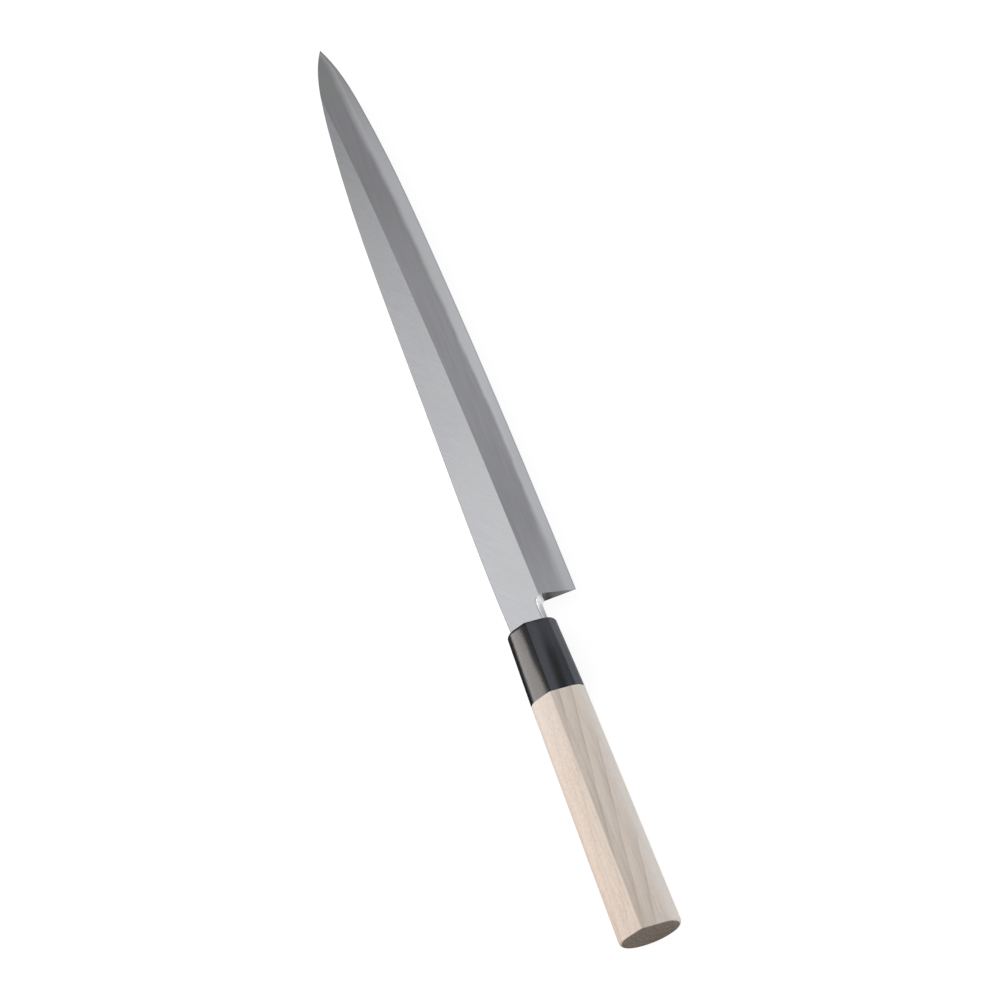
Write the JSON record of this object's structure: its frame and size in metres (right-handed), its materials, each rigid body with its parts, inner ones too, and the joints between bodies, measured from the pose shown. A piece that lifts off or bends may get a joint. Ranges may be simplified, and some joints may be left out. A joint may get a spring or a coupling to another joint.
{
  "type": "yanagiba knife",
  "caption": "Long single-bevelled slicing knife with a hollow-ground back, a horn collar and a D-shaped wooden handle.",
  "frame": {"origin": "centre of the flat butt face, on the axis of the handle", "axes": "+X from the butt along the handle to the point, +Y towards the spine, +Z out of the bevelled front of the blade"},
  "size_m": [0.449, 0.038, 0.0236],
  "materials": {
    "soft_iron": "satin, brushed across the flat and along the bevel",
    "hard_steel": "finely honed, brighter than the soft iron",
    "horn": "polished black horn",
    "magnolia": "bare, sanded smooth",
    "resin": "dull set resin"
  },
  "bodies": {
    "root": {"blade_body": "soft_iron", "edge_steel": "hard_steel", "ferrule": "horn", "handle": "magnolia", "tang_seal": "resin"}
  },
  "joints": []
}
